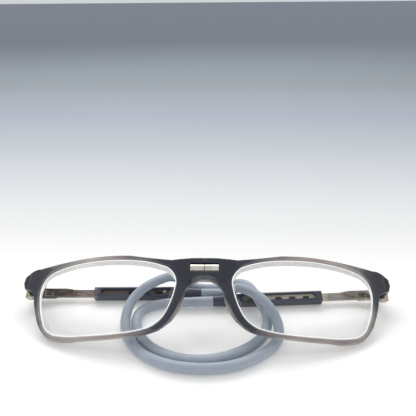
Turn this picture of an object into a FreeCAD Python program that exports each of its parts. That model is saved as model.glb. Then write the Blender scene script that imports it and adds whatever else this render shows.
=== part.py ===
"""Folding reading glasses on a neck cord, as separate pieces.

The front parts at a pair of magnets in the bridge.  Each temple strip slides in a
sleeve, and a silicone neck cord joins the two sleeves.  The model is folded: the
front leans back over the temples, and the cord lies below it in two loose loops.

Units are millimetres.  Left and right are as seen from in front: +X goes from left to
right, +Y goes back over the folded temples and +Z is up from the table.  Two working
frames are used: the front frame (x across, y up the lenses, z out of the front face)
and one arm frame a side (x outward along the temple, y up its height).
"""
import FreeCAD
import Part
import Sketcher
import math
import os

from FreeCAD import Placement, Rotation, Vector

DIMENSIONS = {
    # the front
    "front_lean": 30.0,        # rise of the lens plane from the table, degrees
    "front_y": -18.48,         # where the front frame's origin is
    "front_z": 8.5,
    "wrap_radius": 180.0,
    "rim_depth": 2.1,
    "half_gap": 0.1,           # from the middle plane to each bridge face
    "bridge_depth": 5.2,
    "lens_setback": 0.4,
    "lens_thickness": 1.6,
    "lens_bevel": 0.5,
    "seat_clearance": 0.04,
    "pad_depth": 2.3,
    # the magnets
    "magnet_x": 5.1,
    "magnet_y": 25.4,
    "magnet_z": -1.6,
    "cup_radius": 1.75,
    "cup_wall": 0.35,
    # the hinges
    "hinge_x": 67.4,
    "hinge_z": -17.5,
    "block_back": 16.8,
    "ear_low": 21.6,
    "ear_height": 1.7,
    "knuckle_height": 2.2,
    "knuckle_gap": 0.1,
    "barrel_radius": 1.9,
    "screw_radius": 0.7,
    "screw_clearance": 0.05,
    "rivet_radius": 0.45,
    # the temples
    "arm_height_over_table": 2.65,
    "strip_height": 2.6,
    "strip_thickness": 1.6,
    "strip_insert": 31.0,
    "head_front": 1.25,
    "notch_depth": 1.8,
    "notch_pitch": 5.35,
    "pin_radius": 0.68,
    "pin_insert": 27.5,
    # the sleeves
    "sleeve_size": 4.4,
    "sleeve_corner": 1.0,
    "sleeve_straight": 30.0,
    "sleeve_length": 42.0,
    "cavity_length": 32.5,
    "slide_clearance": 0.1,
    "slot_height": 2.4,
    "slot_start": 2.5,
    "slot_end": 31.0,
    # the cord
    "cord_radius": 1.8,
    "plug_radius": 1.9,
    "plug_length": 7.5,
    "barb_radius": 1.1,
    "barb_in_sleeve": 8.0,
    "barb_in_plug": 6.0,
}

# Each side: sign of x, the temple line's height above the table is shared.
SIDES = {
    "left": {"sign": -1, "hinge_y": 14.09, "slope": -0.018, "mouth_x": 43.7,
             "first_notch": 14.5, "notches": 3},
    "right": {"sign": 1, "hinge_y": 14.89, "slope": 0.0793, "mouth_x": 44.7,
              "first_notch": 6.0, "notches": 4},
}

# Lens opening of one half, in the front frame, x from the middle plane.
OPENING = [
    (9.7, 19.3), (10.8, 23.0), (13.5, 25.8), (17.0, 27.2), (22.4, 28.7), (29.7, 29.8),
    (37.0, 30.35), (43.0, 30.45), (48.4, 30.1), (52.5, 29.5), (56.0, 28.6), (59.6, 26.5),
    (61.3, 23.2), (61.5, 20.5), (60.9, 16.9), (59.3, 11.5), (57.3, 7.2), (55.3, 4.3),
    (52.0, 2.1), (47.5, 1.15), (41.0, 0.75), (34.5, 0.55), (28.0, 0.75), (23.4, 1.2),
    (19.0, 2.1), (15.7, 4.0), (13.0, 7.4), (11.2, 11.9),
]

# Outer edge of one half front, from the bridge top round to the bridge underside.
OUTLINE = [
    (0.0, 29.2), (6.0, 29.05), (12.0, 28.5), (17.5, 29.3), (27.5, 31.35), (37.0, 32.1),
    (47.5, 32.0), (57.5, 31.35), (63.5, 30.8), (67.6, 30.1), (69.4, 28.2), (69.6, 25.8),
    (68.9, 23.4), (67.0, 22.6), (65.2, 21.4), (64.1, 19.5), (63.3, 17.0), (61.9, 12.9),
    (60.0, 8.6), (57.7, 4.9), (54.7, 2.0), (50.6, 0.35), (43.0, -0.3), (33.0, -0.4),
    (25.0, -0.05), (19.3, 0.6), (15.4, 1.8), (12.5, 4.1), (10.2, 7.4), (8.5, 11.2),
    (7.1, 15.0), (5.9, 18.3), (4.5, 20.6), (2.4, 21.75), (0.0, 21.9),
]

# Nose side of the rim, low to high, with the flare of the moulded nose pad (0 to 1).
NOSE_SIDE = [(13.9, 2.6, 0.15), (11.3, 5.8, 0.6), (9.2, 10.0, 1.0), (7.7, 14.0, 0.8),
             (6.2, 18.0, 0.2)]

# Cord route from the left plug's end to the right plug's end.
ROUTE = [
    (5.79, 15.39, 2.65), (8.4, 15.44, 2.65), (10.6, 14.8, 4.5), (11.9, 12.6, 7.1),
    (13.3, 9.8, 8.7), (15.8, 6.9, 9.4), (19, 4.2, 9.3), (22.2, 1.2, 8.1), (24.7, -2.4, 6.1),
    (26.2, -6.6, 3.9), (26.1, -11.1, 2.1), (24.1, -15.5, 1.8), (20.2, -19.7, 1.8),
    (15, -23.8, 1.8), (8.3, -26.6, 1.8), (0.9, -27.6, 1.8), (-6.9, -27.1, 1.8),
    (-14.4, -24.6, 1.8), (-20.9, -20.1, 1.8), (-25.8, -13.5, 1.8), (-28.4, -6.2, 1.9),
    (-28.9, 0.9, 3.5), (-27.2, 6.3, 6), (-23.4, 10.4, 8.2), (-18.7, 14.7, 8.8),
    (-13.7, 19.1, 8.4), (-9.4, 20.9, 5.2), (-5, 20.6, 2.2), (0.4, 20.3, 1.8),
    (5.9, 20.1, 2.1), (10.5, 19.6, 4.4), (14.2, 16.3, 6.9), (17, 11.7, 8), (19.3, 7.5, 6.3),
    (22, 4.4, 3.4), (23, 0.2, 1.9), (22.5, -5.2, 1.8), (20.2, -11.4, 1.8), (16.4, -16, 1.8),
    (11.4, -19.7, 1.8), (5.4, -22.6, 1.8), (-1.4, -23.7, 1.8), (-8.3, -22.8, 1.8),
    (-14.8, -19.7, 1.8), (-20.2, -14.7, 1.8), (-23.5, -8.2, 1.8), (-25, -1.8, 1.8),
    (-24.6, 3.5, 1.8), (-21.2, 7.3, 1.8), (-15.8, 9.2, 2), (-9.53, 8.85, 2.65),
    (-4.65, 9.24, 2.65),
]

doc = FreeCAD.newDocument("glasses")
sheet = doc.addObject("Spreadsheet::Sheet", "dims")
for row, (alias, value) in enumerate(DIMENSIONS.items(), start=1):
    sheet.set("A%d" % row, alias)
    sheet.set("B%d" % row, str(value))
    sheet.setAlias("B%d" % row, alias)
doc.recompute()

nodes = {}


def dim(alias):
    """Value of one cell of the sheet."""
    return float(sheet.get(alias))


def keep(name, thing, placement):
    """Label a finished piece with its node name and put it in its place."""
    thing.Label = name
    thing.Placement = placement
    nodes[name] = thing


# ---------------------------------------------------------------- frames

def front_placement():
    turn = Rotation(Vector(1, 0, 0), dim("front_lean"))
    return Placement(Vector(0, dim("front_y"), dim("front_z")), turn)


def arm_placement(side, along):
    """Arm frame of one side, its origin the given distance out along the temple
    from the point below the hinge axis."""
    sign, slope = side["sign"], side["slope"]
    outward = Vector(sign, slope, 0).normalize()
    lean = math.radians(dim("front_lean"))
    lens_up = Vector(0, math.cos(lean), math.sin(lean))
    up = (lens_up - outward * lens_up.dot(outward)).normalize()
    turn = Rotation(outward, up, outward.cross(up), "XYZ")
    foot = Vector(sign * dim("hinge_x"), side["hinge_y"], dim("arm_height_over_table"))
    return Placement(foot + outward * along, turn)


def mouth_distance(side):
    """From the point below the hinge axis to the sleeve's mouth."""
    return (dim("hinge_x") - side["mouth_x"]) * math.hypot(1.0, side["slope"])


# ---------------------------------------------------------------- sketch helpers

def plane(body, role):
    return [f for f in body.Origin.OriginFeatures if f.Role == role][0]


def new_body(name):
    return doc.addObject("PartDesign::Body", name + "_body")


def new_sketch(body, role, offset=0.0):
    sketch = body.newObject("Sketcher::SketchObject", body.Name + "_sketch")
    sketch.AttachmentSupport = [(plane(body, role), "")]
    sketch.MapMode = "FlatFace"
    sketch.AttachmentOffset = Placement(Vector(0, 0, offset), Rotation())
    return sketch


def add_polygon(sketch, points):
    for start, end in zip(points, points[1:] + points[:1]):
        sketch.addGeometry(Part.LineSegment(Vector(*start, 0), Vector(*end, 0)), False)


def add_rectangle(sketch, x_low, x_high, y_low, y_high):
    corners = [(x_low, y_low), (x_high, y_low), (x_high, y_high), (x_low, y_high)]
    add_polygon(sketch, corners)


def add_circle(sketch, x, y, alias):
    """A circle whose radius is bound to a cell."""
    index = sketch.addGeometry(
        Part.Circle(Vector(x, y, 0), Vector(0, 0, 1), dim(alias)), False)
    number = sketch.addConstraint(Sketcher.Constraint("Radius", index, dim(alias)))
    sketch.setExpression("Constraints[%d]" % number, "dims." + alias)


def add_rounded_square(sketch, size, corner):
    flat = size / 2.0 - corner
    half = size / 2.0
    for quarter in range(4):
        turn = Rotation(Vector(0, 0, 1), 90.0 * quarter)
        start, end = Vector(half, -flat, 0), Vector(half, flat, 0)
        sketch.addGeometry(Part.LineSegment(turn.multVec(start), turn.multVec(end)), False)
        middle = Vector(flat + corner * math.sqrt(0.5), flat + corner * math.sqrt(0.5), 0)
        arc = Part.Arc(turn.multVec(end), turn.multVec(middle),
                       turn.multVec(Vector(flat, half, 0)))
        sketch.addGeometry(arc, False)


def add_arcs(sketch, points):
    """Arcs through every other point in turn; the first point is also the last
    of a closed outline."""
    straight = 0.01
    for first, middle, last in zip(points[0::2], points[1::2], points[2::2]):
        start, on, end = Vector(*first, 0), Vector(*middle, 0), Vector(*last, 0)
        if on.distanceToLine(start, end - start) < straight:
            sketch.addGeometry(Part.LineSegment(start, end), False)
        else:
            sketch.addGeometry(Part.Arc(start, on, end), False)


def pad(body, sketch, length, reverse=False):
    feature = body.newObject("PartDesign::Pad", body.Name + "_pad")
    feature.Profile = sketch
    feature.setExpression("Length", length)
    feature.Reversed = reverse
    body.Tip = feature
    doc.recompute()
    return feature


def pocket(body, sketch, length, reverse=False):
    """Cut a pocket, and make sure that it removed something."""
    before = body.Shape.Volume
    feature = body.newObject("PartDesign::Pocket", body.Name + "_pocket")
    feature.Profile = sketch
    feature.setExpression("Length", length)
    feature.Reversed = reverse
    body.Tip = feature
    doc.recompute()
    if body.Shape.Volume > before - 1e-4:
        raise RuntimeError(body.Name + ": a pocket cut nothing")
    return feature


def cylinder(name, radius, height, centre, axis):
    """Part cylinder with its sizes bound to the sheet; centre is its low end."""
    piece = doc.addObject("Part::Cylinder", name)
    piece.setExpression("Radius", radius)
    piece.setExpression("Height", height)
    piece.Placement = Placement(centre, Rotation(Vector(0, 0, 1), axis))
    return piece


def box(name, low, high):
    piece = doc.addObject("Part::Box", name)
    piece.Length, piece.Width, piece.Height = high - low
    piece.Placement = Placement(low, Rotation())
    return piece


def fuse(name, pieces):
    joined = doc.addObject("Part::MultiFuse", name)
    joined.Shapes = pieces
    doc.recompute()
    return joined


def cut(name, base, tool):
    result = doc.addObject("Part::Cut", name)
    result.Base = base
    result.Tool = tool
    doc.recompute()
    if result.Shape.Volume > base.Shape.Volume - 1e-4:
        raise RuntimeError(name + ": a cut removed nothing")
    return result


def sided_box(name, sign, x_low, x_high, y_low, y_high, z_low, z_high):
    """A box given for the right side, mirrored for the left."""
    low_x = x_low if sign > 0 else -x_high
    high_x = x_high if sign > 0 else -x_low
    return box(name, Vector(low_x, y_low, z_low), Vector(high_x, y_high, z_high))


# ---------------------------------------------------------------- the front

def grown(points, distance):
    """The closed outline moved outward along its own normals."""
    moved = []
    for index, (x, y) in enumerate(points):
        before, after = points[index - 1], points[(index + 1) % len(points)]
        step = Vector(after[0] - before[0], after[1] - before[1], 0).normalize()
        moved.append((x - step.y * distance, y + step.x * distance))
    return moved


def curved_blank(body, sign, setback, thickness):
    """A band of the wrapped front, wider and taller than one half."""
    outer = dim("wrap_radius") - setback
    inner = outer - thickness
    centre = Vector(0, -dim("wrap_radius"), 0)
    x_in, x_out = dim("half_gap"), 71.0

    def arc(radius):
        ends = []
        for x in (x_in, (x_in + x_out) / 2, x_out):
            ends.append(centre + Vector(sign * x, math.sqrt(radius ** 2 - x ** 2), 0))
        return ends

    front, back = arc(outer), arc(inner)
    low_edge, length = 4.0, 38.0
    sketch = new_sketch(body, "XZ_Plane", low_edge)
    sketch.addGeometry(Part.Arc(*front), False)
    sketch.addGeometry(Part.LineSegment(front[2], back[2]), False)
    sketch.addGeometry(Part.Arc(*reversed(back)), False)
    sketch.addGeometry(Part.LineSegment(back[0], front[0]), False)
    pad(body, sketch, str(length), reverse=True)


def cut_outside(body, add_inner):
    """Pocket away all that lies outside the closed outline that add_inner draws."""
    above, through, reach = 2.0, 30.0, 90.0
    sketch = new_sketch(body, "XY_Plane", above)
    add_rectangle(sketch, -reach, reach, -reach, reach)
    add_inner(sketch)
    pocket(body, sketch, str(through))


def mirrored(points, sign):
    return [(sign * x, y) for x, y in points]


def lens_solid(name, sign, setback, thickness, growth):
    body = new_body(name)
    curved_blank(body, sign, setback, thickness)
    points = mirrored(grown(OPENING, growth), sign)
    cut_outside(body, lambda sketch: add_arcs(sketch, points + points[:1]))
    return body


def rim_body(side_name, sign):
    """The front moulding: wrapped band trimmed to the outline, bridge and end block."""
    body = new_body(side_name + "_rim")
    curved_blank(body, sign, 0.0, dim("rim_depth"))

    def outline(sketch):
        points = mirrored(OUTLINE, sign)
        add_arcs(sketch, points)
        sketch.addGeometry(
            Part.LineSegment(Vector(*points[-1], 0), Vector(*points[0], 0)), False)

    cut_outside(body, outline)
    opening = new_sketch(body, "XY_Plane", 2.0)
    add_arcs(opening, mirrored(OPENING + OPENING[:1], sign))
    pocket(body, opening, "30")
    return body


def bridge_block(side_name, sign):
    body = new_body(side_name + "_bridge")
    sketch = new_sketch(body, "XY_Plane", -1.2)
    gap = dim("half_gap")
    points = [(gap, 21.95), (2.4, 21.85), (4.6, 20.7), (6.1, 18.5), (8.8, 19.4), (9.3, 22.0),
              (10.4, 25.2), (11.0, 28.2), (6.0, 28.9), (gap, 29.1)]
    add_polygon(sketch, mirrored(points, sign))
    pad(body, sketch, "dims.bridge_depth - 1.2", reverse=True)
    return body


def end_block(side_name, sign):
    body = new_body(side_name + "_end_block")
    sketch = new_sketch(body, "XY_Plane", -13.1)
    points = [(62.6, 22.8), (67.0, 22.7), (68.8, 23.5), (69.5, 25.4), (69.3, 28.0),
              (67.5, 30.0), (64.0, 30.6), (62.6, 30.8)]
    add_polygon(sketch, mirrored(points, sign))
    pad(body, sketch, "dims.block_back - 13.1", reverse=True)
    return body


def nose_pad(side_name, sign):
    """Thin flange that flares back and towards the nose, from a loft of five sections."""
    inset, web = 0.3, 1.3
    sections = []
    for x, y, flare in NOSE_SIDE:
        depth = -x * x / (2 * dim("wrap_radius"))
        root = depth - 1.0
        back = depth - dim("rim_depth") + 0.3 - dim("pad_depth") * flare
        lean = 1.2 * flare
        corners = [
            Vector(x + inset, y, root), Vector(x + inset + web, y + 0.4, root),
            Vector(x + inset + web - lean, y + 0.4, back), Vector(x + inset - lean, y, back)]
        corners = [Vector(sign * c.x, c.y, c.z) for c in corners]
        sections.append(Part.makePolygon(corners + corners[:1]))
    piece = doc.addObject("Part::Feature", side_name + "_nose_pad")
    piece.Shape = Part.makeLoft(sections, True, True)
    return piece


def rim(side_name, sign, place):
    """Rim with its bridge, end block and nose pad, less the seats in it."""
    slack = dim("seat_clearance")
    seat = lens_solid(side_name + "_seat", sign, dim("lens_setback") - slack,
                      dim("lens_thickness") + 2 * slack, dim("lens_bevel") + slack)
    grooved = cut(side_name + "_grooved_rim", rim_body(side_name, sign), seat)
    moulding = fuse(side_name + "_moulding",
                    [grooved, bridge_block(side_name, sign), end_block(side_name, sign),
                     nose_pad(side_name, sign)])
    across = Vector(sign, 0, 0)
    start = Vector(-0.5 * sign, dim("magnet_y"), dim("magnet_z"))
    socket = cylinder(side_name + "_socket", "dims.cup_radius + 0.02", "dims.magnet_x + 0.52",
                      start, across)
    reach = dim("cup_radius") - 0.05
    window = sided_box(side_name + "_window", sign, -0.5, dim("magnet_x") + 0.02,
                       dim("magnet_y") - reach, dim("magnet_y") + reach,
                       dim("magnet_z"), 3.0)
    hinge_at = Vector(sign * dim("hinge_x"), 15.0, dim("hinge_z"))
    barrel = cylinder(side_name + "_barrel_room", "dims.barrel_radius + 0.2", "12.6",
                      hinge_at, Vector(0, 1, 0))
    bare = moulding
    for tool in [socket, window, barrel] + rivet_holes(side_name, sign):
        bare = cut(side_name + "_less_" + tool.Name, bare, tool)
    keep(side_name + "_rim", bare, place)


def lens(side_name, sign, place):
    body = lens_solid(side_name + "_lens", sign, dim("lens_setback"),
                      dim("lens_thickness"), dim("lens_bevel"))
    keep(side_name + "_lens", body, place)


def magnet(side_name, sign, place):
    """Steel cup let into the bridge face, and the round magnet inside it."""
    across = Vector(sign, 0, 0)
    face = Vector(sign * dim("half_gap"), dim("magnet_y"), dim("magnet_z"))
    length = "dims.magnet_x - dims.half_gap"
    shell = cylinder(side_name + "_cup_outside", "dims.cup_radius", length, face, across)
    inner = "dims.cup_radius - dims.cup_wall"
    depth = "dims.magnet_x - dims.half_gap - 0.6"
    room = cylinder(side_name + "_cup_inside", inner, depth, face, across)
    keep(side_name + "_magnet_cup", cut(side_name + "_magnet_cup", shell, room), place)
    core = cylinder(side_name + "_magnet", inner + " - 0.02", depth, face, across)
    holder = fuse_single(side_name + "_magnet_core", core)
    keep(side_name + "_magnet", holder, place)


def fuse_single(name, piece):
    """Wrap a placed primitive so that its node can be placed as a whole."""
    holder = doc.addObject("Part::Compound", name)
    holder.Links = [piece]
    doc.recompute()
    return holder


# ---------------------------------------------------------------- the hinges

def rivet_places():
    return [(63.3, 24.4), (63.3, 26.6)]


def rivet_holes(side_name, sign):
    holes = []
    for number, (x, y) in enumerate(rivet_places()):
        low = Vector(sign * x, y, -dim("block_back") - 1.0)
        holes.append(cylinder("%s_rivet_hole_%d" % (side_name, number),
                              "dims.rivet_radius + 0.02", "3", low, Vector(0, 0, 1)))
    return holes


def hinge_cylinder(name, sign, radius, y_low, height):
    low = Vector(sign * dim("hinge_x"), y_low, dim("hinge_z"))
    return cylinder(name, radius, height, low, Vector(0, 1, 0))


def front_hinge(side_name, sign, place):
    """Plate on the end block, with two ears round the screw."""
    name = side_name + "_front_hinge"
    low_ear = dim("ear_low")
    high_ear = low_ear + dim("ear_height") + dim("knuckle_height") + 2 * dim("knuckle_gap")
    pieces = []
    back = -dim("block_back")
    for tag, y_low in (("low", low_ear), ("high", high_ear)):
        y_high = y_low + dim("ear_height")
        ear = hinge_cylinder(name + "_ear_" + tag, sign, "dims.barrel_radius", y_low,
                             "dims.ear_height")
        web = sided_box(name + "_web_" + tag, sign, 62.4, dim("hinge_x") - 1.0, y_low, y_high,
                        back - 1.1, back - 0.02)
        pieces += [ear, web]
    plate = sided_box(name + "_plate", sign, 62.4, 64.4, low_ear, high_ear + dim("ear_height"),
                      back - 0.62, back - 0.02)
    bore = hinge_cylinder(name + "_bore", sign, "dims.screw_radius + dims.screw_clearance",
                          low_ear - 1.0, "9")
    seat = hinge_cylinder(name + "_head_seat", sign, "1.2", low_ear - 0.01, "0.71")
    tools = [bore, seat] + [copy_hole(name, sign, n, x, y)
                            for n, (x, y) in enumerate(rivet_places())]
    keep(name, cut(name, fuse(name + "_solid", pieces + [plate]), fuse(name + "_tools", tools)),
         place)


def copy_hole(name, sign, number, x, y):
    low = Vector(sign * x, y, -dim("block_back") - 2.0)
    return cylinder("%s_hole_%d" % (name, number), "dims.rivet_radius + 0.02", "4", low,
                    Vector(0, 0, 1))


def front_rivets(side_name, sign, place):
    rivets = []
    back = -dim("block_back")
    for number, (x, y) in enumerate(rivet_places()):
        tag = "%s_front_rivet_%d" % (side_name, number)
        thick = 0.62 if dim("ear_low") + dim("ear_height") < y < 25.6 else 1.1
        head = cylinder(tag + "_head", "0.72", "0.25",
                        Vector(sign * x, y, back - thick - 0.27), Vector(0, 0, 1))
        shank = cylinder(tag + "_shank", "dims.rivet_radius", str(thick + 1.8),
                         Vector(sign * x, y, back - thick - 0.1), Vector(0, 0, 1))
        rivets += [head, shank]
    keep(side_name + "_front_rivets", fuse(side_name + "_front_rivets", rivets), place)


def hinge_screw(side_name, sign, place):
    """Slotted screw from below, threaded into the upper ear."""
    name = side_name + "_hinge_screw"
    low = dim("ear_low")
    length = 2 * dim("ear_height") + dim("knuckle_height") + 2 * dim("knuckle_gap")
    shank = hinge_cylinder(name + "_shank", sign, "dims.screw_radius", low + 0.3,
                           str(length - 0.4))
    head = hinge_cylinder(name + "_head", sign, "1.15", low - 0.1, "0.75")
    x = dim("hinge_x")
    slot = sided_box(name + "_slot", sign, x - 1.3, x + 1.3, low - 0.2, low + 0.2,
                     dim("hinge_z") - 0.17, dim("hinge_z") + 0.17)
    keep(name, cut(name, fuse(name + "_solid", [shank, head]), slot), place)


def arm_box(name, side, x_low, x_high, y_low, y_high, out_low, out_high):
    """A box in the arm frame, its last two sizes measured towards the front."""
    z_low, z_high = sorted((side["sign"] * out_low, side["sign"] * out_high))
    return box(name, Vector(x_low, y_low, z_low), Vector(x_high, y_high, z_high))


def arm_rod(name, side, radius, height, x, y, out):
    """A cylinder in the arm frame that stands towards the front."""
    sign = side["sign"]
    return cylinder(name, radius, height, Vector(x, y, sign * out), Vector(0, 0, sign))


def arm_rivet_places():
    return [(-6.9, -0.6), (-4.5, -0.6)]


def arm_hinge(side_name, side, place):
    """Middle knuckle with the plate that lies on the temple's head."""
    name = side_name + "_arm_hinge"
    low = dim("ear_low") + dim("ear_height") + dim("knuckle_gap")
    face, thick = dim("head_front") + 0.02, 0.7
    sign = side["sign"]
    knuckle = hinge_cylinder(name + "_knuckle", sign, "dims.barrel_radius", low,
                             "dims.knuckle_height")
    x = dim("hinge_x")
    web = sided_box(name + "_web", sign, x - 1.5, x, low, low + dim("knuckle_height"),
                    dim("hinge_z") - 2.6, dim("hinge_z"))
    bore = hinge_cylinder(name + "_bore", sign, "dims.screw_radius + dims.screw_clearance",
                          low - 1.0, "5")
    for piece in (knuckle, web, bore):
        piece.Placement = place.inverse() * front_placement() * piece.Placement
    plate = arm_box(name + "_plate", side, -8.2, 0.0, -1.6, 0.4, face, face + thick)
    tools = [bore]
    for number, (x, y) in enumerate(arm_rivet_places()):
        tools.append(arm_rod("%s_hole_%d" % (name, number), side, "dims.rivet_radius + 0.02",
                             "3", x, y, 0.5))
    keep(name, cut(name, fuse(name + "_solid", [knuckle, web, plate]),
                   fuse(name + "_tools", tools)), place)


def arm_rivets(side_name, side, place):
    rivets = []
    top = dim("head_front") + 0.72
    for number, (x, y) in enumerate(arm_rivet_places()):
        tag = "%s_arm_rivet_%d" % (side_name, number)
        rivets.append(arm_rod(tag + "_head", side, "0.75", "0.25", x, y, top + 0.02))
        rivets.append(arm_rod(tag + "_shank", side, "dims.rivet_radius", "2.2", x, y, top - 2.0))
    keep(side_name + "_arm_rivets", fuse(side_name + "_arm_rivets", rivets), place)


# ---------------------------------------------------------------- the temples

def temple(side_name, side, place):
    """Notched strip with a deeper head at the hinge, parted by a slanting crease."""
    name = side_name + "_arm"
    mouth = -mouth_distance(side)
    half = dim("strip_height") / 2
    tip = mouth - dim("strip_insert")
    body = new_body(name)
    edge = [(tip, half), (tip, -half)]
    notch_top, notch_wide, notch_narrow = -half + dim("notch_depth"), 3.4, 2.2
    for count in reversed(range(side["notches"])):
        middle = mouth - side["first_notch"] - count * dim("notch_pitch")
        edge += [(middle - notch_wide / 2, -half), (middle - notch_narrow / 2, notch_top),
                 (middle + notch_narrow / 2, notch_top), (middle + notch_wide / 2, -half)]
    edge += [(-8.0, -half), (-8.0, half)]
    strip = new_sketch(body, "XY_Plane")
    add_polygon(strip, edge)
    feature = pad(body, strip, "dims.strip_thickness")
    feature.Midplane = True
    head = new_sketch(body, "XY_Plane", -side["sign"] * dim("strip_thickness") / 2)
    add_polygon(head, [(-15.0, half), (-12.0, 1.7), (-0.2, 1.7), (0.55, 1.1), (0.55, -1.1),
                       (-0.2, -1.7), (-8.0, -1.7), (-9.0, -half)])
    pad(body, head, "dims.head_front + dims.strip_thickness / 2", reverse=side["sign"] < 0)
    hole = new_sketch(body, "XY_Plane", 3.0)
    add_circle(hole, mouth - dim("pin_insert"), 0.0, "pin_radius")
    pocket(body, hole, "6")
    tools = []
    for number, (x, y) in enumerate(arm_rivet_places()):
        tools.append(arm_rod("%s_hole_%d" % (name, number), side, "dims.rivet_radius + 0.02",
                             "5", x, y, dim("head_front") - 1.3))
    keep(name, cut(name, body, fuse(name + "_tools", tools)), place)


def stop_pin(side_name, side, place):
    name = side_name + "_stop_pin"
    reach = side["sign"] * 1.0
    low = min(-0.8 * reach, 1.9 * reach)
    pin = cylinder(name + "_rod", "dims.pin_radius - 0.01", "2.7",
                   Vector(-mouth_distance(side) - dim("pin_insert"), 0, low),
                   Vector(0, 0, 1))
    keep(name, fuse_single(name, pin), place)


# ---------------------------------------------------------------- the sleeves

def sleeve(side_name, side, place):
    """Square sleeve that tapers to the round end, slotted on its inner face."""
    name = side_name + "_sleeve"
    sign = side["sign"]
    body = new_body(name)
    start = new_sketch(body, "YZ_Plane")
    add_rounded_square(start, dim("sleeve_size"), dim("sleeve_corner"))
    pad(body, start, "dims.sleeve_straight", reverse=True)
    wide = new_sketch(body, "YZ_Plane", -dim("sleeve_straight"))
    add_rounded_square(wide, dim("sleeve_size"), dim("sleeve_corner"))
    narrow = new_sketch(body, "YZ_Plane", -dim("sleeve_length"))
    add_rounded_square(narrow, 2 * dim("plug_radius"), dim("plug_radius") - 0.05)
    taper = body.newObject("PartDesign::AdditiveLoft", name + "_taper")
    taper.Profile = wide
    taper.Sections = [narrow]
    body.Tip = taper
    doc.recompute()
    cavity = new_sketch(body, "YZ_Plane", 1.0)
    half_y = dim("strip_height") / 2 + dim("slide_clearance")
    half_z = dim("strip_thickness") / 2 + dim("slide_clearance")
    add_rectangle(cavity, -half_y, half_y, -half_z, half_z)
    pocket(body, cavity, "dims.cavity_length + 1")
    slot = new_sketch(body, "XY_Plane")
    add_slot(slot, -dim("slot_end"), -dim("slot_start"), dim("slot_height") / 2)
    pocket(body, slot, "4", reverse=sign > 0)
    spigot = new_sketch(body, "YZ_Plane", -dim("sleeve_length") - 1.0)
    add_circle(spigot, 0.0, 0.0, "barb_radius")
    pocket(body, spigot, "dims.barb_in_sleeve + 1", reverse=True)
    room = box(name + "_leaf_room", Vector(-20.2, -1.95, -0.7), Vector(-7.8, -1.2, 0.7))
    keep(name, cut(name, body, room), place)


def add_slot(sketch, x_low, x_high, radius):
    """Round-ended slot along x."""
    left, right = x_low + radius, x_high - radius
    sketch.addGeometry(Part.LineSegment(Vector(left, -radius, 0), Vector(right, -radius, 0)),
                       False)
    sketch.addGeometry(Part.Arc(Vector(right, -radius, 0), Vector(x_high, 0, 0),
                                Vector(right, radius, 0)), False)
    sketch.addGeometry(Part.LineSegment(Vector(right, radius, 0), Vector(left, radius, 0)),
                       False)
    sketch.addGeometry(Part.Arc(Vector(left, radius, 0), Vector(x_low, 0, 0),
                                Vector(left, -radius, 0)), False)


def detent_leaf(side_name, side, place):
    """Bowed leaf spring below the strip, its crown just under the notched edge."""
    name = side_name + "_detent_leaf"
    body = new_body(name)
    sketch = new_sketch(body, "XY_Plane")
    low, crown, thick = -1.93, -1.36, 0.18
    ends, middle = (-20.0, -8.0), -14.0
    points_low = [Vector(ends[0], low, 0), Vector(middle, crown - thick, 0),
                  Vector(ends[1], low, 0)]
    points_high = [p + Vector(0, thick, 0) for p in reversed(points_low)]
    sketch.addGeometry(Part.Arc(*points_low), False)
    sketch.addGeometry(Part.LineSegment(points_low[2], points_high[0]), False)
    sketch.addGeometry(Part.Arc(*points_high), False)
    sketch.addGeometry(Part.LineSegment(points_high[2], points_low[0]), False)
    feature = pad(body, sketch, "1.2")
    feature.Midplane = True
    keep(name, body, place)


def plug(side_name, place):
    """Round end piece of the cord, bored for the barb."""
    name = side_name + "_cord_plug"
    body = new_body(name)
    ring = new_sketch(body, "YZ_Plane", -dim("sleeve_length"))
    add_circle(ring, 0.0, 0.0, "plug_radius")
    pad(body, ring, "dims.plug_length", reverse=True)
    bore = new_sketch(body, "YZ_Plane", -dim("sleeve_length") + 1.0)
    add_circle(bore, 0.0, 0.0, "barb_radius")
    pocket(body, bore, "dims.barb_in_plug + 1")
    keep(name, body, place)


def barb(side_name, place):
    """Pin that holds the plug in the sleeve, with two ribs' worth of grip in each."""
    name = side_name + "_plug_barb"
    start = Vector(-dim("sleeve_length") - dim("barb_in_plug") + 0.05, 0, 0)
    rod = cylinder(name + "_rod", "dims.barb_radius - 0.02",
                   "dims.barb_in_plug + dims.barb_in_sleeve - 0.1", start, Vector(1, 0, 0))
    keep(name, fuse_single(name, rod), place)


# ---------------------------------------------------------------- the cord

def cord_path():
    """Straight runs joined by tangent arcs, each as large as its two runs allow."""
    share = 0.45
    points = [Vector(*p) for p in ROUTE]
    edges, radii = [], []
    last = points[0]
    for before, corner, after in zip(points, points[1:], points[2:]):
        into, out = before - corner, after - corner
        turn = math.pi - into.getAngle(out)
        reach = share * min(into.Length, out.Length)
        radii.append(reach / math.tan(turn / 2))
        into.normalize()
        out.normalize()
        start, end = corner + into * reach, corner + out * reach
        middle_line = (into + out).normalize()
        height = radii[-1] / math.cos(turn / 2) - radii[-1]
        edges.append(Part.LineSegment(last, start).toShape())
        edges.append(Part.Arc(start, corner + middle_line * height, end).toShape())
        last = end
    edges.append(Part.LineSegment(last, points[-1]).toShape())
    return Part.Wire(edges), radii


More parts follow.
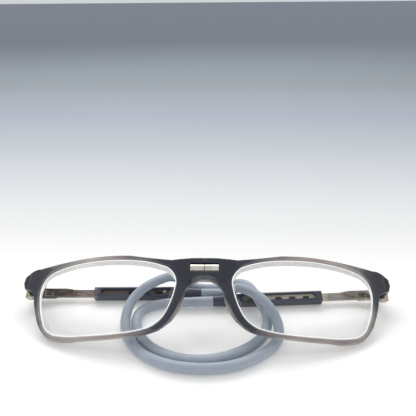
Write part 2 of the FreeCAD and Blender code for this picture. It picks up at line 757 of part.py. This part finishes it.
def neck_cord():
    path, radii = cord_path()
    radius = dim("cord_radius")
    direction = (Vector(*ROUTE[1]) - Vector(*ROUTE[0])).normalize()
    ring = Part.Wire(Part.makeCircle(radius, Vector(*ROUTE[0]), direction))
    solid = path.makePipeShell([ring], True, False)
    piece = doc.addObject("Part::Feature", "neck_cord")
    piece.Shape = solid
    print("cord length %.1f mm" % path.Length)
    print("arc radii mm: " + " ".join("%.1f" % r for r in radii))
    ratio = solid.Volume / (math.pi * radius ** 2 * path.Length)
    print("cord volume over section times length: %.4f" % ratio)
    if abs(ratio - 1.0) > 0.01:
        raise RuntimeError("the cord's tube folds on itself")
    keep("neck_cord", piece, Placement())


# ---------------------------------------------------------------- assembly

def build_front(side_name, side):
    sign, place = side["sign"], front_placement()
    rim(side_name, sign, place)
    lens(side_name, sign, place)
    magnet(side_name, sign, place)
    front_hinge(side_name, sign, place)
    front_rivets(side_name, sign, place)
    hinge_screw(side_name, sign, place)


def build_temple(side_name, side):
    arm_place = arm_placement(side, 0.0)
    sleeve_place = arm_placement(side, -mouth_distance(side))
    arm_hinge(side_name, side, arm_place)
    arm_rivets(side_name, side, arm_place)
    temple(side_name, side, arm_place)
    stop_pin(side_name, side, arm_place)
    sleeve(side_name, side, sleeve_place)
    detent_leaf(side_name, side, sleeve_place)
    plug(side_name, sleeve_place)
    barb(side_name, sleeve_place)


def check_and_write():
    doc.recompute()
    for thing in doc.Objects:
        bad = [s for s in thing.State if s in ("Invalid", "Error")]
        if bad:
            raise RuntimeError("%s is %s" % (thing.Label, bad))
    os.makedirs("parts", exist_ok=True)
    for name, thing in nodes.items():
        shape = thing.Shape
        if shape.isNull() or not shape.isValid():
            raise RuntimeError(name + " has no valid shape")
        if len(shape.Solids) != (2 if name.endswith("rivets") else 1):
            raise RuntimeError("%s has %d solids" % (name, len(shape.Solids)))
        shape.exportStep("parts/%s.step" % name)
    print("%d nodes written" % len(nodes))


for side_name, side in SIDES.items():
    build_front(side_name, side)
    build_temple(side_name, side)
neck_cord()
check_and_write()
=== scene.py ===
"""Looks for the folding reading glasses with a neck cord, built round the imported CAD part.

Lengths are metres in the row frame.  +X is left to right, +Y back, +Z up from the table.
The front frame (x across, u up the lenses, w out of the front face) is written "front".
"""
import bpy
import bmesh
import math
from mathutils import Matrix, Vector
from mathutils.bvhtree import BVHTree


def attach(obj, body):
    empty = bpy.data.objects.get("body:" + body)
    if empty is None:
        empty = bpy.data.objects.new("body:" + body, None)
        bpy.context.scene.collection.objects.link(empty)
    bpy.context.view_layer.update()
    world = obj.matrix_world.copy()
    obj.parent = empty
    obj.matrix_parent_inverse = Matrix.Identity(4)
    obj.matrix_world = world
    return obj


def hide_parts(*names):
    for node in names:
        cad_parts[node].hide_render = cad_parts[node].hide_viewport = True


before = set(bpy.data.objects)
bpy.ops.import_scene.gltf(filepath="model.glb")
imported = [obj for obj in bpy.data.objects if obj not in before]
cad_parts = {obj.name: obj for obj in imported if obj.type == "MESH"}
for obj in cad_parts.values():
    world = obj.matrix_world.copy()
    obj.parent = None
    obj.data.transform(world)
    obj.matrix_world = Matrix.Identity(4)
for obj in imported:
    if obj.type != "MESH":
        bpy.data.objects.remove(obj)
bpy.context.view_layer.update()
MM = 0.001
CORD_RADIUS = 1.8 * MM


def new_piece(name, data):
    piece = bpy.data.objects.new(name, data)
    bpy.context.scene.collection.objects.link(piece)
    return piece


# ---------------------------------------------------------------- camera

CAMERA_PLACE = Vector((5.89, -154.16, 108.94)) * MM

camera = new_piece("camera", bpy.data.cameras.new("camera"))
bpy.context.scene.camera = camera
pitch, yaw, roll = math.radians(22.38), math.radians(-1.62), math.radians(-0.46)
ahead = Vector((math.sin(yaw) * math.cos(pitch), math.cos(yaw) * math.cos(pitch),
                -math.sin(pitch)))
level = ahead.cross(Vector((0, 0, 1))).normalized()
top = level.cross(ahead)
across = level * math.cos(roll) + top * math.sin(roll)
camera.matrix_world = (Matrix.Translation(CAMERA_PLACE)
                       @ Matrix((across, across.cross(ahead), -ahead)).transposed().to_4x4())
camera.data.lens = 43.27
camera.data.sensor_width = 36.0
camera.data.sensor_fit = "HORIZONTAL"
camera.data.clip_start = 0.005
camera.data.clip_end = 500.0

# ---------------------------------------------------------------- neck cord

# Control points in millimetres, from the left sleeve's plug, round the outer loop, then the
# inner one, to the right sleeve's plug.
ROUTE = [
    (5.79, 15.39, 2.65), (8.4, 15.44, 2.65), (10.6, 14.8, 4.5), (11.9, 12.6, 7.1),
    (13.3, 9.8, 8.7), (15.8, 6.9, 9.4), (19, 4.2, 9.3), (22.2, 1.2, 8.1), (24.7, -2.4, 6.1),
    (26.2, -6.6, 3.9), (26.1, -11.1, 2.1), (24.1, -15.5, 1.8), (20.2, -19.7, 1.8),
    (15, -23.8, 1.8), (8.3, -26.6, 1.8), (0.9, -27.6, 1.8), (-6.9, -27.1, 1.8),
    (-14.4, -24.6, 1.8), (-20.9, -20.1, 1.8), (-25.8, -13.5, 1.8), (-28.4, -6.2, 1.9),
    (-28.9, 0.9, 3.5), (-27.2, 6.3, 6), (-23.4, 10.4, 8.2), (-18.7, 14.7, 8.8),
    (-13.7, 19.1, 8.4), (-9.4, 20.9, 5.2), (-5, 20.6, 2.2), (0.4, 20.3, 1.8),
    (5.9, 20.1, 2.1), (10.5, 19.6, 4.4), (14.2, 16.3, 6.9), (17, 11.7, 8), (19.3, 7.5, 6.3),
    (22, 4.4, 3.4), (23, 0.2, 1.9), (22.5, -5.2, 1.8), (20.2, -11.4, 1.8), (16.4, -16, 1.8),
    (11.4, -19.7, 1.8), (5.4, -22.6, 1.8), (-1.4, -23.7, 1.8), (-8.3, -22.8, 1.8),
    (-14.8, -19.7, 1.8), (-20.2, -14.7, 1.8), (-23.5, -8.2, 1.8), (-25, -1.8, 1.8),
    (-24.6, 3.5, 1.8), (-21.2, 7.3, 1.8), (-15.8, 9.2, 2), (-9.53, 8.85, 2.65),
    (-4.65, 9.24, 2.65),
]


def neck_cord():
    curve = bpy.data.curves.new("silicone_cord", "CURVE")
    curve.dimensions = "3D"
    spline = curve.splines.new("NURBS")
    spline.points.add(len(ROUTE) - 1)
    for point, place in zip(spline.points, ROUTE):
        point.co = (*(c * MM for c in place), 1.0)
    spline.order_u = 3
    spline.use_endpoint_u = True
    spline.resolution_u = 10
    curve.bevel_depth = CORD_RADIUS
    curve.bevel_resolution = 8
    curve.use_fill_caps = True
    return new_piece("silicone_cord", curve)


cord = neck_cord()

# ---------------------------------------------------------------- materials

class Look:
    """A Principled material with a few shorthands for its node tree."""

    def __init__(self, name, rough=0.5, metal=0.0, **sockets):
        self.material = bpy.data.materials.new(name)
        self.material.use_nodes = True
        self.tree = self.material.node_tree
        self.surface = self.tree.nodes["Principled BSDF"]
        self.surface.inputs["Roughness"].default_value = rough
        self.surface.inputs["Metallic"].default_value = metal
        for socket, value in sockets.items():
            self.surface.inputs[socket.replace("_", " ")].default_value = value
        self.place = self.node("ShaderNodeTexCoord").outputs["Object"]

    def node(self, kind, **settings):
        made = self.tree.nodes.new(kind)
        for key, value in settings.items():
            if key in made.inputs:
                made.inputs[key].default_value = value
            else:
                setattr(made, key, value)
        return made

    def link(self, output, target):
        self.tree.links.new(output, target)

    def axis(self, name):
        """One coordinate of the row frame, in metres."""
        split = self.node("ShaderNodeSeparateXYZ")
        self.link(self.place, split.inputs[0])
        return split.outputs[name]

    def noise(self, scale, detail=3.0, rough=0.5, stretch=(1, 1, 1)):
        """Noise in the row frame, scale in waves per metre."""
        mapping = self.node("ShaderNodeMapping", Scale=stretch)
        self.link(self.place, mapping.inputs["Vector"])
        made = self.node("ShaderNodeTexNoise", Scale=scale, Detail=detail, Roughness=rough)
        self.link(mapping.outputs[0], made.inputs["Vector"])
        return made.outputs["Fac"]

    def ramp(self, value, stops):
        """Colours along a value; each stop is (position, red, green, blue)."""
        made = self.node("ShaderNodeValToRGB")
        band = made.color_ramp
        while len(band.elements) < len(stops):
            band.elements.new(0.5)
        for element, (position, *colour) in zip(band.elements, stops):
            element.position = position
            element.color = (*colour, 1.0)
        self.link(value, made.inputs["Fac"])
        return made.outputs["Color"]

    def spread(self, value, low, high, start=0.0, end=1.0):
        """The value from start to end, stretched to run from low to high."""
        made = self.node("ShaderNodeMapRange")
        for socket, number in (("From Min", start), ("From Max", end), ("To Min", low),
                               ("To Max", high)):
            made.inputs[socket].default_value = number
        self.link(value, made.inputs["Value"])
        return made.outputs["Result"]

    def maths(self, operation, first, second=None):
        """A Math node on one or two linked values."""
        made = self.node("ShaderNodeMath", operation=operation)
        self.link(first, made.inputs[0])
        if second is not None:
            self.link(second, made.inputs[1])
        return made.outputs[0]

    def blend(self, first, second, mode):
        """Two colours put together in full; 0, 6, 7 and 2 are Mix's colour sockets."""
        made = self.node("ShaderNodeMix", data_type="RGBA", blend_type=mode)
        made.inputs[0].default_value = 1.0
        self.link(first, made.inputs[6])
        self.link(second, made.inputs[7])
        return made.outputs[2]

    def colour(self, value):
        self.link(value, self.surface.inputs["Base Color"])

    def roughness(self, value, low, high):
        """Roughness from low to high as the value runs from 0 to 1."""
        self.link(self.spread(value, low, high), self.surface.inputs["Roughness"])

    def bump(self, value, height, strength):
        made = self.node("ShaderNodeBump", Strength=strength, Distance=height)
        self.link(value, made.inputs["Height"])
        self.link(made.outputs[0], self.surface.inputs["Normal"])

    def attribute(self, name):
        made = self.node("ShaderNodeAttribute", attribute_name=name)
        return made.outputs["Fac"]


def silicone(name):
    """Matte blue-grey silicone with a faint dusty mottle."""
    look = Look(name, rough=0.5, Sheen_Weight=0.25, Sheen_Roughness=0.4)
    look.surface.inputs["Sheen Tint"].default_value = (0.8, 0.88, 1.0, 1.0)
    broad, fine = look.noise(160, 3), look.noise(2600, 2)
    base = look.ramp(broad, [(0.3, 0.35, 0.40, 0.465), (0.7, 0.42, 0.465, 0.53)])
    dust = look.ramp(fine, [(0.62, 0, 0, 0), (0.75, 0.06, 0.065, 0.07)])
    look.colour(look.blend(base, dust, "ADD"))
    look.roughness(broad, 0.42, 0.58)
    look.bump(fine, 0.00002, 0.5)
    return look.material


def rim_nylon():
    """Smoky nylon, darker where it is thicker, beside the nose and at the end pieces.

    "out" is the distance from the middle. "forward" grows towards the front face, and
    lightens the pads that stand behind it, where they fall in the zone beside the nose.
    """
    look = Look("smoky_nylon", rough=0.34, Coat_Weight=0.3, Coat_Roughness=0.15)
    flow = look.noise(90, 3, 0.6, (0.4, 1, 1))
    fine = look.noise(3000, 2)
    out = look.maths("ABSOLUTE", look.axis("X"))
    forward = look.node("ShaderNodeVectorMath", operation="DOT_PRODUCT")
    look.link(look.place, forward.inputs[0])
    forward.inputs[1].default_value = (0.0, -0.5, 0.866)
    nose = look.maths("MULTIPLY", look.spread(out, 0.30, 0.0, 0.010, 0.034),
                      look.spread(forward.outputs["Value"], -1.0, 1.0, 0.0126, 0.0143))
    end = look.maths("MULTIPLY", look.spread(out, 0.0, 0.45, 0.058, 0.066),
                     look.spread(look.axis("Z"), 0.0, 1.0, 0.0045, 0.0085))
    depth = look.maths("ADD", look.attribute("thickness"),
                       look.spread(flow, -0.12, 0.16, 0.3, 0.7))
    depth = look.maths("ADD", depth, look.maths("ADD", nose, end))
    look.colour(look.ramp(depth, [
        (0.1, 0.44, 0.39, 0.36), (0.26, 0.31, 0.27, 0.255), (0.42, 0.14, 0.125, 0.13),
        (0.58, 0.026, 0.028, 0.043), (1.0, 0.009, 0.011, 0.022)]))
    look.roughness(flow, 0.24, 0.4)
    look.bump(fine, 0.000015, 0.5)
    return look.material


def sleeve_plastic():
    look = Look("navy_sleeve", rough=0.3, Coat_Weight=0.2, Coat_Roughness=0.25)
    broad, fine = look.noise(120, 4, 0.55, (0.3, 1, 1)), look.noise(4200, 2)
    look.colour(look.ramp(broad, [(0.3, 0.032, 0.038, 0.060), (0.7, 0.058, 0.064, 0.092)]))
    look.roughness(broad, 0.24, 0.42)
    look.bump(fine, 0.00002, 0.6)
    return look.material


def temple_plastic_with_painted_light():
    """Smoky brown strip with faint flow lines, tinted along its length: dark at the left
    head, then beige inside the right sleeve, which is painted light shining through the
    strip, and lighter again by the right hinge, a painted reflection."""
    look = Look("smoky_temple_painted_light", rough=0.28, Coat_Weight=0.3, Coat_Roughness=0.2)
    lines, fine = look.noise(260, 4, 0.6, (0.12, 1, 1)), look.noise(4000, 2)
    flow = look.ramp(lines, [(0.28, 0.62, 0.60, 0.58), (0.5, 0.8, 0.8, 0.8),
                             (0.75, 1.0, 1.0, 1.0)])
    along = look.spread(look.axis("X"), 0.0, 1.0, -0.07, 0.07)
    # Colour along the strip: dark at the left head; the beige stops inside the right sleeve
    # are painted light shining through the strip; the light stop at the right hinge end is a
    # painted reflection.
    tint_and_painted_light = look.ramp(along, [
        (0.0, 0.05, 0.035, 0.028), (0.06, 0.06, 0.042, 0.034), (0.1, 0.155, 0.11, 0.09),
        (0.2, 0.155, 0.11, 0.09), (0.5, 0.15, 0.11, 0.10), (0.56, 0.80, 0.70, 0.56),
        (0.82, 0.85, 0.75, 0.62), (0.84, 0.27, 0.24, 0.215), (0.91, 0.30, 0.265, 0.235),
        (0.95, 0.60, 0.54, 0.46)])
    look.colour(look.blend(flow, tint_and_painted_light, "MULTIPLY"))
    look.roughness(lines, 0.22, 0.4)
    look.bump(fine, 0.000015, 0.5)
    return look.material


def metal(name, dark, light, rough=0.25, scale=900, brush=(1, 1, 1)):
    """Plated metal, dulled in patches, with fine tool marks."""
    look = Look(name, rough=rough, metal=1.0)
    patch, marks = look.noise(scale, 4, 0.6), look.noise(3500, 3, 0.6, brush)
    look.colour(look.ramp(patch, [(0.32, *dark), (0.68, *light)]))
    look.roughness(marks, rough - 0.08, rough + 0.14)
    look.bump(marks, 0.00001, 0.6)
    return look.material


def lens_glass():
    """Thin clear lens: light goes straight through, less what the surface mirrors."""
    look = Look("lens_clear")
    through = look.node("ShaderNodeBsdfTransparent")
    through.inputs["Color"].default_value = (0.99, 0.995, 0.995, 1.0)
    gloss = look.node("ShaderNodeBsdfGlossy")
    smear = look.noise(70, 3)
    look.link(look.spread(smear, 0.02, 0.07), gloss.inputs["Roughness"])
    fresnel = look.node("ShaderNodeFresnel", IOR=1.25)
    mix = look.node("ShaderNodeMixShader")
    look.link(fresnel.outputs[0], mix.inputs[0])
    look.link(through.outputs[0], mix.inputs[1])
    look.link(gloss.outputs[0], mix.inputs[2])
    output = look.tree.nodes["Material Output"]
    look.link(mix.outputs[0], output.inputs["Surface"])
    look.tree.nodes.remove(look.surface)
    return look.material


def lens_edge_painted_glow():
    """Ground edge of the lens, frosted white, with a faint painted glow."""
    # The emission is a painted glow: the frosted edge lights itself so that its pale line
    # stands out.
    look = Look("lens_ground_edge_painted_glow", rough=0.45, Emission_Strength=0.25)
    grind = look.noise(5000, 2, 0.5, (1, 1, 0.3))
    look.colour(look.ramp(grind, [(0.3, 0.93, 0.93, 0.92), (0.7, 0.98, 0.98, 0.97)]))
    look.roughness(grind, 0.35, 0.6)
    look.bump(grind, 0.00001, 0.5)
    return look.material


def lens_bevel():
    """Polished shoulder inside the ground edge, where the glass looks grey."""
    look = Look("lens_shoulder", rough=0.12, Coat_Weight=0.5)
    haze = look.noise(900, 3)
    look.colour(look.ramp(haze, [(0.3, 0.70, 0.69, 0.66), (0.7, 0.84, 0.83, 0.80)]))
    look.roughness(haze, 0.08, 0.2)
    look.bump(haze, 0.000005, 0.3)
    return look.material


SILICONE = silicone("blue_grey_silicone")
NYLON = rim_nylon()
SLEEVE = sleeve_plastic()
TEMPLE_PAINTED_LIGHT = temple_plastic_with_painted_light()
NICKEL = metal("worn_nickel", (0.26, 0.21, 0.155), (0.54, 0.47, 0.37), 0.3)
STEEL = metal("bright_steel", (0.55, 0.54, 0.52), (0.82, 0.81, 0.79), 0.22)
PLATING = metal("cup_plating", (0.62, 0.58, 0.49), (0.90, 0.87, 0.78), 0.3, 500,
                (1, 0.2, 0.2))
MAGNET = metal("sintered_magnet", (0.40, 0.38, 0.35), (0.60, 0.58, 0.54), 0.35)
SPRING = metal("spring_steel", (0.32, 0.32, 0.33), (0.55, 0.55, 0.56), 0.3)
GLASS = lens_glass()
EDGE_PAINTED_GLOW = lens_edge_painted_glow()
BEVEL = lens_bevel()
HIDDEN = sleeve_plastic()
HIDDEN.name = "barb_plastic"


def set_material(piece, *materials):
    """Give the piece these materials. Clearing an empty list would still reset the faces'
    material numbers, so it is left alone."""
    if piece.data.materials:
        piece.data.materials.clear()
    for material in materials:
        piece.data.materials.append(material)


# ---------------------------------------------------------------- frame helpers

LEAN = math.radians(30.0)
FRONT_ORIGIN = Vector((0.0, -18.48, 8.5)) * MM


def to_front(place):
    """Row-frame point as (x, u, w) in millimetres of the front frame."""
    offset = (place - FRONT_ORIGIN) / MM
    return Vector((offset.x, offset.y * math.cos(LEAN) + offset.z * math.sin(LEAN),
                   -offset.y * math.sin(LEAN) + offset.z * math.cos(LEAN)))


def from_front(x, u, w):
    return FRONT_ORIGIN + Vector((x, u * math.cos(LEAN) - w * math.sin(LEAN),
                                  u * math.sin(LEAN) + w * math.cos(LEAN))) * MM


def softened(node, name, voxel, rounds):
    """The node's shape as a moulded piece with rounded edges."""
    piece = new_piece(name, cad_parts[node].data.copy())
    remesh = piece.modifiers.new("remesh", "REMESH")
    remesh.mode = "VOXEL"
    remesh.voxel_size = voxel
    smooth = piece.modifiers.new("smooth", "SMOOTH")
    smooth.factor = 0.5
    smooth.iterations = rounds
    bpy.context.view_layer.update()
    mesh = bpy.data.meshes.new_from_object(
        piece.evaluated_get(bpy.context.evaluated_depsgraph_get()))
    piece.modifiers.clear()
    piece.data = mesh
    for face in mesh.polygons:
        face.use_smooth = True
    return piece


def store_thickness(piece, full):
    """How much plastic lies under each point, 0 thin to 1 at the full depth, averaged
    over a cone of rays and then over the neighbours."""
    skin, spread, rounds = 0.02 * MM, 0.8, 10
    cone = ((0, 0), (spread, 0), (-spread, 0), (0, spread), (0, -spread))
    mesh = piece.data
    tree = BVHTree.FromObject(piece, bpy.context.evaluated_depsgraph_get())
    depth = []
    for vertex in mesh.vertices:
        normal = vertex.normal
        side = normal.orthogonal().normalized()
        other = normal.cross(side)
        total = 0.0
        for a, b in cone:
            ray = (side * a + other * b - normal).normalized()
            hit = tree.ray_cast(vertex.co - normal * skin, ray, full)
            total += hit[3] if hit[0] is not None else full
        depth.append(total / len(cone) / full)
    links = [[] for _ in depth]
    for edge in mesh.edges:
        a, b = edge.vertices
        links[a].append(b)
        links[b].append(a)
    for _ in range(rounds):
        depth = [(depth[i] + sum(depth[j] for j in near)) / (1 + len(near))
                 for i, near in enumerate(links)]
    values = mesh.attributes.new("thickness", "FLOAT", "POINT")
    values.data.foreach_set("value", depth)


def bevelled(node, width):
    """The CAD piece itself, with its sharp edges broken."""
    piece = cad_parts[node]
    bevel = piece.modifiers.new("bevel", "BEVEL")
    bevel.width = width
    bevel.segments = 2
    bevel.limit_method = "ANGLE"
    bevel.angle_limit = math.radians(35)
    for face in piece.data.polygons:
        face.use_smooth = False
    return piece


# ---------------------------------------------------------------- the front

def rim(side):
    """Moulded half of the front, its bridge face drawn out until the slit nearly closes."""
    zone, pull, least = 1.0 * MM, 0.13 * MM, 0.02 * MM
    piece = softened(side + "_rim", side + "_moulded_rim", 0.15 * MM, 6)
    for vertex in piece.data.vertices:
        near = 1.0 - abs(vertex.co.x) / zone
        if near > 0:
            apart = max(abs(vertex.co.x) - pull * near, least)
            vertex.co.x = math.copysign(apart, vertex.co.x)
    store_thickness(piece, 5.5 * MM)
    set_material(piece, NYLON)
    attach(piece, side + "_front")
    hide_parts(side + "_rim")


def lens_outline(node):
    """The front one of the lens's two sharp outlines, as an ordered list of points."""
    merge, crease = 1e-6, math.radians(50)
    mesh = bmesh.new()
    mesh.from_mesh(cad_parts[node].data)
    bmesh.ops.remove_doubles(mesh, verts=mesh.verts, dist=merge)
    sharp = [e for e in mesh.edges if len(e.link_faces) == 2
             and e.calc_face_angle(0) > crease]
    near = {}
    for edge in sharp:
        a, b = edge.verts
        near.setdefault(a, []).append(b)
        near.setdefault(b, []).append(a)
    loops, seen = [], set()
    for start in near:
        if start in seen or len(near[start]) != 2:
            continue
        loop, previous, current = [], None, start
        while current not in seen:
            seen.add(current)
            loop.append(current.co.copy())
            following = [v for v in near[current] if v is not previous and v not in seen]
            previous = current
            if following:
                current = following[0]
        loops.append(loop)
    mesh.free()
    loops.sort(key=len, reverse=True)
    return max(loops[:2], key=lambda loop: sum(to_front(p).z for p in loop) / len(loop))


def evenly(points, count):
    """The closed line through the points, resampled at equal steps."""
    ring = points + points[:1]
    lengths = [0.0]
    for a, b in zip(ring, ring[1:]):
        lengths.append(lengths[-1] + (b - a).length)
    made, index = [], 0
    for step in range(count):
        target = lengths[-1] * step / count
        while lengths[index + 1] < target:
            index += 1
        share = (target - lengths[index]) / max(lengths[index + 1] - lengths[index], 1e-9)
        made.append(ring[index].lerp(ring[index + 1], share))
    return made


def lens(side):
    """Lens shell: a ground edge that shows as a pale line in the rim, with a faint painted
    glow, a shoulder inside it along the top, and clear glass. It is open behind, inside the
    rim.

    Millimetres of the front frame. Each row is a ring of points round the lens, moved in
    from its outline and set back from the front's curve.
    """
    count, wrap = 240, 180.0
    ground_rows = ((0.6, 2.6), (0.6, 0.14), (0.66, 0.08), (0.92, 0.12))
    shoulder_inset, top_extra, shoulder_setback = 0.98, 1.8, 0.17
    glass_rows, glass_reach, glass_setback, dome = 8, 8.4, 0.41, 0.25
    outline = evenly([to_front(p) for p in lens_outline(side + "_lens")], count)
    if sum(a.x * b.y - b.x * a.y for a, b in zip(outline, outline[1:] + outline[:1])) < 0:
        outline.reverse()
    inward = []
    for index in range(count):
        step = outline[(index + 2) % count] - outline[index - 2]
        inward.append(Vector((-step.y, step.x, 0)).normalized())
    centre = sum(outline, Vector()) / count

    mesh = bmesh.new()

    def ring(points, setback, lift=0.0):
        return [mesh.verts.new(from_front(
            p.x, p.y, math.sqrt((wrap - setback) ** 2 - p.x * p.x) - wrap + lift))
            for p in points]

    rows = [ring([p + n * inset for p, n in zip(outline, inward)], setback)
            for inset, setback in ground_rows]
    shoulder = [p + n * (shoulder_inset + top_extra * max(0.0, -n.y))
                for p, n in zip(outline, inward)]
    rows.append(ring(shoulder, shoulder_setback))
    # Material slots: clear glass, the ground edge with its painted glow, and the shoulder.
    clear, ground, bevel = range(3)
    kinds = [ground, ground, ground, bevel]
    for number in range(1, glass_rows + 1):
        share = number / glass_reach
        rows.append(ring([p.lerp(centre, share) for p in shoulder], glass_setback,
                         dome * math.sin(math.pi / 2 * share)))
        kinds.append(clear)
    for low, high, kind in zip(rows, rows[1:], kinds):
        for index in range(count):
            after = (index + 1) % count
            face = mesh.faces.new((low[index], low[after], high[after], high[index]))
            below = kind == bevel and inward[index].y > -0.15
            face.material_index = clear if below else kind
            face.smooth = True
    mesh.faces.new(rows[-1]).material_index = clear
    bmesh.ops.recalc_face_normals(mesh, faces=mesh.faces)
    data = bpy.data.meshes.new(side + "_clear_lens")
    mesh.to_mesh(data)
    mesh.free()
    piece = new_piece(side + "_clear_lens", data)
    set_material(piece, GLASS, EDGE_PAINTED_GLOW, BEVEL)
    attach(piece, side + "_front")
    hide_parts(side + "_lens")


# Material and bevel in millimetres of each piece whose CAD shape is shown.
PIECES = {
    "magnet_cup": (PLATING, 0.08), "magnet": (MAGNET, 0.05), "front_hinge": (NICKEL, 0.15),
    "front_rivets": (STEEL, 0.08), "hinge_screw": (STEEL, 0.08), "arm_hinge": (NICKEL, 0.15),
    "arm_rivets": (STEEL, 0.08), "arm": (TEMPLE_PAINTED_LIGHT, 0.18), "stop_pin": (SPRING, 0.08),
    "sleeve": (SLEEVE, 0.25), "detent_leaf": (SPRING, 0.04), "cord_plug": (SILICONE, 0.25),
    "plug_barb": (HIDDEN, 0.08),
}

for side in ("left", "right"):
    rim(side)
    lens(side)
    for node, (material, width) in PIECES.items():
        set_material(bevelled("%s_%s" % (side, node), width * MM), material)

# ---------------------------------------------------------------- the cord's finish

set_material(cord, SILICONE)
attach(cord, "cord_and_sleeves")
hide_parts("neck_cord")

# ---------------------------------------------------------------- floor and light

def floor():
    """Pale floor, darker and blue-grey in the distance; brightest under and in front of the
    glasses, a painted pool of light that lightens their shadows, and glowing faintly with
    its own colour, more painted light.
    """
    mesh = bmesh.new()
    bmesh.ops.create_grid(mesh, x_segments=2, y_segments=2, size=200.0)
    data = bpy.data.meshes.new("floor")
    mesh.to_mesh(data)
    mesh.free()
    piece = new_piece("floor", data)
    look = Look("pale_floor_painted_light", rough=0.7)
    # Colour by distance back: brightest under and in front of the glasses, a painted pool of
    # light, then darker and blue-grey further off.
    painted_light_and_distance_tone = look.ramp(look.axis("Y"), [
        (0.02, 0.90, 0.89, 0.87), (0.08, 0.70, 0.705, 0.69), (0.16, 0.53, 0.545, 0.565),
        (0.24, 0.395, 0.424, 0.45), (0.34, 0.305, 0.325, 0.378), (0.55, 0.213, 0.24, 0.262),
        (0.9, 0.178, 0.204, 0.228), (1.0, 0.178, 0.204, 0.245)])
    look.colour(painted_light_and_distance_tone)
    # The floor glows with its own colour: painted light that softens the shadows round the
    # glasses.
    look.surface.inputs["Emission Strength"].default_value = 0.16
    look.link(painted_light_and_distance_tone, look.surface.inputs["Emission Color"])
    set_material(piece, look.material)


def area_light(name, place, aim, size, power, colour=(1, 1, 1)):
    data = bpy.data.lights.new(name, "AREA")
    data.shape = "RECTANGLE"
    data.size, data.size_y = size
    data.energy = power
    data.color = colour
    lamp = new_piece(name, data)
    lamp.location = place
    lamp.rotation_euler = (Vector(aim) - Vector(place)).to_track_quat("-Z", "Y").to_euler()


WARM = (1.0, 0.93, 0.82)

floor()
area_light("back_softbox", (-0.15, 0.75, 0.75), (0, 0, 0), (1.1, 0.5), 6.0)
area_light("left_fill", (-0.5, 0.1, 0.6), (0, 0, 0.01), (0.2, 0.1), 0.35, WARM)
area_light("right_fill", (0.5, 0.15, 0.6), (0, 0, 0.01), (0.2, 0.1), 0.35, WARM)
world = bpy.data.worlds.new("studio")
bpy.context.scene.world = world
world.use_nodes = True
sky = world.node_tree.nodes["Background"].inputs
sky["Color"].default_value = (0.93, 0.96, 1.0, 1.0)
sky["Strength"].default_value = 0.68
bpy.context.scene.view_settings.view_transform = "Standard"
